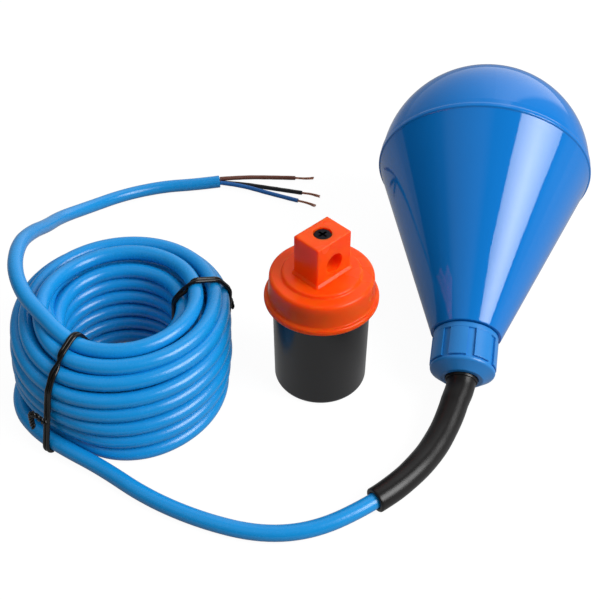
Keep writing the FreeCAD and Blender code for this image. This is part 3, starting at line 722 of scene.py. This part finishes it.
# Insulation: a tube along the core's line, radius = radius + unevenness * sin(wave * distance),
# whose end is cut square with a slightly squeezed rim, open round the strands
def corePiece(name):
    line = linePoints(
        nurbsCurve("core_line", np.array(cores["routes"][name]), cores["resolution"]))
    end = lengthAlong(line)[-1]
    radius, bore, depth = cores["radius"], cores["boreRadius"], cores["boreDepth"]
    along = np.linspace(0, end - cores["rimStart"], cores["rings"])
    wave = cores["unevenness"] * np.sin(along * cores["unevenWave"] + len(name))
    profile = list(zip(along, radius + wave))
    profile += [(end + s, radius + outwards) for s, outwards in cores["rimEdge"]]
    chamferDepth, chamferWidth = cores["boreChamfer"]
    profile += [(end, bore + chamferWidth), (end - chamferDepth, bore),
                (end - depth, bore), (end - depth - 0.0001, 0.00001)]
    rings = carryProfile(line, profile, cores["sides"])
    faces = ringFaces(rings.shape[0], rings.shape[1], False)
    piece = addPiece("core_" + name + "_insulation", rings, faces, cores["colours"][name])
    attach(piece, mainBody)
    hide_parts("core_" + name)
    return piece, line


# Strands: helix of each layer round the core's line, point = line + r * (cos w * side +
# sin w * up) with w growing along it; they stay tight at the insulation and spread towards
# uneven tips
def strandPiece(name, line, seed):
    random = np.random.default_rng(seed)
    tip = line[-1]
    direction = unit(line[-1] - line[-2])
    total = strands["length"] + strands["grip"]
    share = np.linspace(0, 1, strands["points"])
    out = np.clip((share * total - strands["grip"]) / strands["length"], 0, 1)
    sideways = unit(np.cross(np.array([0.0, 0.0, 1.0]), direction))
    upwards = np.cross(direction, sideways)
    sway = random.uniform(-strands["sway"], strands["sway"])
    sway = sway * np.sin(out * strands["swayWaves"]) * out
    droop = -strands["droop"] * out ** 2
    paths = []
    for count, layerRadius in strands["layers"]:
        for i in range(count):
            reach = total - random.uniform(0.0, strands["unevenEnds"])
            phase = 2 * math.pi * i / count
            phase += random.uniform(-strands["unevenTurn"], strands["unevenTurn"])
            spread = 1 + strands["spread"] * out ** 2 * random.uniform(*strands["spreadRange"])
            turn = phase + 2 * math.pi * share * total / strands["layLength"]
            radius = layerRadius * spread
            centre = tip + direction * (share[:, None] * reach - strands["grip"])
            centre = centre + sideways * sway[:, None] + upwards * droop[:, None]
            paths.append(centre + sideways * (radius * np.cos(turn))[:, None]
                         + upwards * (radius * np.sin(turn))[:, None])
    rings = wireRings(np.array(paths), strands["radius"], strands["sides"])
    perWire = strands["points"] * strands["sides"]
    faces = []
    for i in range(len(paths)):
        faces += ringFaces(strands["points"], strands["sides"], False, i * perWire)
    piece = addPiece("copper_" + name + "_strands", rings, faces, copper, 60.0)
    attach(piece, mainBody)
    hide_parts("copper_" + name)
    return piece


cordPieces = []
for seed, coreName in enumerate(cores["routes"], strands["firstSeed"]):
    insulation, coreLine = corePiece(coreName)
    cordPieces += [insulation, strandPiece(coreName, coreLine, seed)]
print("cores:", len(cordPieces), "pieces")


# Where the cable's line crosses the upright plane at an angle, as distance from the coil's centre
# and height: point = before + share * (after - before), share = the part of the step that lies
# before the plane
def crossings(angle):
    outwards = np.array([math.cos(angle), math.sin(angle), 0.0])
    along = np.array([-math.sin(angle), math.cos(angle), 0.0])
    place = cableLine - ties["centre"]
    side, reach = place @ along, place @ outwards
    inBundle = (reach[:-1] > ties["bundleFrom"]) & (reach[:-1] < ties["bundleTo"])
    hit = (side[:-1] * side[1:] < 0) & inBundle
    share = (side[:-1] / (side[:-1] - side[1:]))[hit, None]
    points = place[:-1][hit] + share * np.diff(place, axis=0)[hit]
    return np.column_stack([points @ outwards, points[:, 2]])


# Closed line round the bundle: in each direction the outermost crossing plus the cable's radius
# and the wire's, so it rounds the outer turns and bridges the hollows between them
def bundleLine(angle, standOff):
    centres = crossings(angle)
    turn = np.linspace(0, 2 * math.pi, ties["directions"], endpoint=False)
    direction = np.column_stack([np.cos(turn), np.sin(turn)])
    outermost = centres[np.argmax(direction @ centres.T, axis=1)]
    line = outermost + standOff * direction
    line = np.vstack([line, line[:1]])
    reached = lengthAlong(line)
    along = np.linspace(0, reached[-1], ties["points"], endpoint=False)
    line = np.column_stack([np.interp(along, reached, line[:, i]) for i in range(2)])
    for _ in range(ties["smoothing"]):
        line = (np.roll(line, 1, 0) + 2 * line + np.roll(line, -1, 0)) / 4
    return line


# Two wires side by side round the bundle that cross over twice: offset = wire radius *
# (cos w * along + sin w * away), with w turning half round at each crossing
def wrappedWires(settings):
    angle = math.radians(settings["angle"])
    wire, count = ties["wireRadius"], ties["points"]
    line = bundleLine(angle, cable["radius"] + wire + ties["gap"])
    outwards = np.array([math.cos(angle), math.sin(angle), 0.0])
    along = np.array([-math.sin(angle), math.cos(angle), 0.0])
    upright = np.array([0.0, 0.0, 1.0])
    centre = ties["centre"] + line[:, :1] * outwards + line[:, 1:] * upright
    away = np.cross(unit(np.roll(centre, -1, 0) - np.roll(centre, 1, 0)), along)
    share = np.arange(count) / count
    w = np.zeros(count)
    for crossing in settings["crossAt"]:
        t = np.clip((share - crossing) / ties["crossShare"] + 0.5, 0, 1)
        w += math.pi * t * t * (3 - 2 * t)
    turn = np.linspace(0, 2 * math.pi, ties["sides"], endpoint=False)[None, :, None]
    wires = []
    for side in (1, -1):
        offset = np.cos(w)[:, None] * along + np.sin(w)[:, None] * away
        lifted = centre + side * ties["apart"] * wire * offset
        lifted = lifted + away * (wire * np.abs(np.sin(w)))[:, None]
        lifted[:, 2] = np.maximum(lifted[:, 2], wire)
        tangent = unit(np.roll(lifted, -1, 0) - np.roll(lifted, 1, 0))
        normal = np.cross(tangent, along)
        square = np.cross(tangent, normal)
        ring = np.cos(turn) * normal[:, None] + np.sin(turn) * square[:, None]
        wires.append(lifted[:, None] + wire * ring)
    return np.array(wires)


# The tie's end: two wires that turn round each other once in each pitch, offset = wire radius *
# (cos w * side + sin w * up), w = 2 pi * distance / pitch
def twistedEnd(settings):
    line = linePoints(
        nurbsCurve("tie_line", np.array(settings["tail"]), ties["endResolution"]))
    line = pointAt(line, np.linspace(0, lengthAlong(line)[-1], ties["endPoints"]))
    sideways, upwards = acrossPath(line, ties["endReference"])
    w = (lengthAlong(line) / ties["twistPitch"] * 2 * math.pi)[:, None]
    offset = ties["endRadius"] * (np.cos(w) * sideways + np.sin(w) * upwards)
    return wireRings(np.array([line + offset, line - offset]), ties["endRadius"], ties["sides"])


def twistTie(name, settings):
    wrapped, twisted = wrappedWires(settings), twistedEnd(settings)
    faces, first = [], 0
    for wires, closed in ((wrapped, True), (twisted, False)):
        for wire in wires:
            faces += ringFaces(len(wire), ties["sides"], closed, first)
            first += len(wire) * ties["sides"]
    points = np.vstack([wrapped.reshape(-1, 3), twisted.reshape(-1, 3)])
    piece = addPiece(name + "_wires", points, faces, tieCoat, 60.0)
    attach(piece, mainBody)
    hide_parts(name)
    return piece


cordPieces += [twistTie("tie_front", ties["front"]), twistTie("tie_back", ties["back"])]
print("ties:", [len(piece.data.vertices) for piece in cordPieces[-2:]])


# Floor, light and camera
studio = {
    "floorSize": 4.0,
    "floorColour": "#7c7c7c",
    "floorGlow": 0.64,
    "floorWhite": 1.48,
    # what gloss sees of the floor near the object and away from it, and where the change lies
    "floorGlossNear": 0.28,
    "floorGlossFar": 0.10,
    "floorNear": 0.20,
    "floorFar": 0.45,
    "softboxAim": np.array([0.06, 0.03, 0.03]),
    "softboxDirection": np.array([0.715, -0.34, 0.61]),
    "softboxDistance": 1.6,
    "softboxWidth": 1.06,
    "softboxHeight": 1.16,
    "softboxPower": 38.0,
    "softboxMiddle": 1.20,
    "softboxEdge": 0.50,
    "softboxFadeFrom": 0.05,
    "softboxFadeTo": 0.60,
    "cameraPlace": (-0.009, -0.318, 0.333),
    "cameraDown": 42.3,
    "lens": 61.2,
    "sensor": 36.0,
}

half = studio["floorSize"] / 2
corners = [(-half, -half, 0), (half, -half, 0), (half, half, 0), (-half, half, 0)]
floorMesh = bpy.data.meshes.new("floor")
floorMesh.from_pydata(corners, [], [(0, 1, 2, 3)])
floor = bpy.data.objects.new("floor", floorMesh)
bpy.context.scene.collection.objects.link(floor)

# matt sweep that shows white to the eye and in gloss and keeps a faint shadow; in gloss it gets
# darker away from the object, as a table in a dark room does
floorMaterial, floorTree, floorShader = newMaterial(
    "sweep_matt_white", {"Roughness": 0.9, "Base Color": linear(studio["floorColour"])})
floorRays = addNode(floorTree, "ShaderNodeLightPath")
floorPlace = addNode(floorTree, "ShaderNodeTexCoord").outputs["Object"]
fromMiddle = addNode(floorTree, "ShaderNodeVectorMath", links={0: floorPlace}, operation="LENGTH")
nearGloss = addNode(floorTree, "ShaderNodeMapRange",
                    {"From Min": studio["floorNear"], "From Max": studio["floorFar"],
                     "To Min": studio["floorGlossNear"], "To Max": studio["floorGlossFar"]},
                    {"Value": fromMiddle.outputs["Value"]}, interpolation_type="SMOOTHSTEP")
inGloss = addNode(floorTree, "ShaderNodeMath",
                  links={0: floorRays.outputs["Is Glossy Ray"], 1: nearGloss.outputs["Result"]},
                  operation="MULTIPLY")
seenPlain = addNode(floorTree, "ShaderNodeMath",
                    links={0: floorRays.outputs["Is Camera Ray"], 1: inGloss.outputs[0]},
                    operation="MAXIMUM")
seen = addNode(floorTree, "ShaderNodeMath",
               links={0: seenPlain.outputs[0], 1: floorRays.outputs["Is Transmission Ray"]},
               operation="MAXIMUM")
glowShare = addNode(floorTree, "ShaderNodeMath", {1: studio["floorGlow"]},
                    {0: seen.outputs[0]}, operation="MULTIPLY")
glow = addNode(floorTree, "ShaderNodeEmission",
               {"Color": (1, 1, 1, 1), "Strength": studio["floorWhite"]})
mixed = addNode(floorTree, "ShaderNodeMixShader",
                links={0: glowShare.outputs[0], 1: floorShader.outputs[0], 2: glow.outputs[0]})
floorTree.links.new(mixed.outputs[0], floorTree.nodes["Material Output"].inputs["Surface"])
floorMesh.materials.append(floorMaterial)

# Room: white to the eye and plain grey light. For gloss it has a pale wall behind the object
# whose right edge is at 48 degrees from +X and which gets darker to the left and to the top, a
# dim side wall right of that edge, a low glow under it, and a faint lamp from the left
room = {
    "leftLampDirection": (-0.433, -0.25, 0.866),
    "fillDirection": (-0.17, 0.20, 0.965),
    "wallLight": 0.66,
    # each ramp: what it follows, where it starts and ends, its value before and after, its form.
    # around is the angle from +X in radians, height the direction's upward share
    "ramps": {
        "wallMiddle": ("around", 1.05, 2.19, 1.35, 0.0, "LINEAR"),
        "wallLeft": ("around", 1.66, 2.83, 0.62, 0.0, "LINEAR"),
        "wallEdge": ("around", 0.70, 0.88, 0.0, 1.0, "SMOOTHSTEP"),
        "wallTop": ("height", 0.86, 0.98, 1.0, 0.15, "SMOOTHSTEP"),
        "sideRise": ("around", 0.30, 0.75, 0.03, 0.33, "LINEAR"),
        "sideEnd": ("around", 0.85, 1.0, 1.0, 0.0, "LINEAR"),
        "lowTop": ("height", 0.12, 0.28, 0.32, 0.0, "LINEAR"),
        "lowStart": ("around", -0.6, -0.3, 0.0, 1.0, "LINEAR"),
        "leftLamp": ("towardsLamp", 0.86, 0.97, 0.0, 0.28, "SMOOTHSTEP"),
        "fill": ("towardsFill", -0.05, 1.0, 0.03, 0.64, "LINEAR"),
    },
    # how the ramps are joined, one after the other: result, operation, the two that go in
    "joins": [
        ("wall", "MAXIMUM", "wallMiddle", "wallLeft"),
        ("wall", "MULTIPLY", "wall", "wallEdge"),
        ("wall", "MULTIPLY", "wall", "wallTop"),
        ("side", "MULTIPLY", "sideRise", "sideEnd"),
        ("low", "MULTIPLY", "lowStart", "sideEnd"),
        ("low", "MULTIPLY", "lowTop", "low"),
        ("walls", "MAXIMUM", "wall", "side"),
        ("rest", "MAXIMUM", "low", "leftLamp"),
        ("reflected", "MAXIMUM", "walls", "rest"),
        ("plain", "MAXIMUM", "cameraRay", "transmissionRay"),
    ],
}
world = bpy.data.worlds.new("studio_room")
bpy.context.scene.world = world
world.use_nodes = True
roomTree = world.node_tree
background = roomTree.nodes["Background"]
roomRays = addNode(roomTree, "ShaderNodeLightPath")
direction = addNode(roomTree, "ShaderNodeTexCoord").outputs["Generated"]
split = addNode(roomTree, "ShaderNodeSeparateXYZ", links={0: direction})
around = addNode(roomTree, "ShaderNodeMath", links={0: split.outputs["Y"], 1: split.outputs["X"]},
                 operation="ARCTAN2")
towardsLamp = addNode(roomTree, "ShaderNodeVectorMath", {1: room["leftLampDirection"]},
                      {0: direction}, operation="DOT_PRODUCT")
towardsFill = addNode(roomTree, "ShaderNodeVectorMath", {1: room["fillDirection"]},
                      {0: direction}, operation="DOT_PRODUCT")
light = {
    "around": around.outputs[0],
    "height": split.outputs["Z"],
    "towardsLamp": towardsLamp.outputs["Value"],
    "towardsFill": towardsFill.outputs["Value"],
    "cameraRay": roomRays.outputs["Is Camera Ray"],
    "transmissionRay": roomRays.outputs["Is Transmission Ray"],
}
for name, (followed, start, end, before, after, form) in room["ramps"].items():
    step = addNode(roomTree, "ShaderNodeMapRange",
                   {"From Min": start, "From Max": end, "To Min": before, "To Max": after},
                   {"Value": light[followed]}, interpolation_type=form)
    light[name] = step.outputs["Result"]
for name, operation, first, second in room["joins"]:
    joined = addNode(roomTree, "ShaderNodeMath", links={0: light[first], 1: light[second]},
                     operation=operation)
    light[name] = joined.outputs[0]
# matt surfaces see less of the walls, and a white ceiling besides, more of it from the upper left
diffuse = addNode(roomTree, "ShaderNodeMath", {1: room["wallLight"]},
                  {0: light["reflected"], 2: light["fill"]}, operation="MULTIPLY_ADD")
glossy = addNode(roomTree, "ShaderNodeMix",
                 links={0: roomRays.outputs["Is Glossy Ray"], 2: diffuse.outputs[0],
                        3: light["reflected"]}, data_type="FLOAT")
level = addNode(roomTree, "ShaderNodeMix", {3: 1.0},
                {0: light["plain"], 2: glossy.outputs[0]}, data_type="FLOAT")
roomTree.links.new(level.outputs[0], background.inputs["Strength"])
background.inputs["Color"].default_value = (1, 1, 1, 1)

# one large softbox at the right, as the strip of light on the float shows
lamp = bpy.data.lights.new("softbox", "AREA")
lamp.shape = "RECTANGLE"
lamp.size = studio["softboxWidth"]
lamp.size_y = studio["softboxHeight"]
lamp.energy = studio["softboxPower"]
# brighter in the middle than at the edges, as a softbox is in front of its bulb
lamp.use_nodes = True
lampTree = lamp.node_tree
onBox = addNode(lampTree, "ShaderNodeNewGeometry").outputs["Parametric"]
fromBulb = addNode(lampTree, "ShaderNodeVectorMath", {1: (0.5, 0.5, 0.0)}, {0: onBox},
                   operation="DISTANCE")
fading = addNode(lampTree, "ShaderNodeMapRange",
                 {"From Min": studio["softboxFadeFrom"], "From Max": studio["softboxFadeTo"],
                  "To Min": studio["softboxMiddle"], "To Max": studio["softboxEdge"]},
                 {"Value": fromBulb.outputs["Value"]})
lampTree.links.new(fading.outputs["Result"], lampTree.nodes["Emission"].inputs["Strength"])
softbox = bpy.data.objects.new("softbox", lamp)
bpy.context.scene.collection.objects.link(softbox)
towards = unit(studio["softboxDirection"])
softbox.location = studio["softboxAim"] + towards * studio["softboxDistance"]
softbox.rotation_euler = (math.acos(towards[2]), 0, math.atan2(towards[0], -towards[1]))
softbox.visible_camera = False

cameraData = bpy.data.cameras.new("camera")
cameraData.lens = studio["lens"]
cameraData.sensor_width = studio["sensor"]
camera = bpy.data.objects.new("camera", cameraData)
bpy.context.scene.collection.objects.link(camera)
camera.location = studio["cameraPlace"]
camera.rotation_euler = (math.radians(90.0 - studio["cameraDown"]), 0, 0)
bpy.context.scene.camera = camera
bpy.context.scene.view_settings.view_transform = "Standard"
print("studio ready")
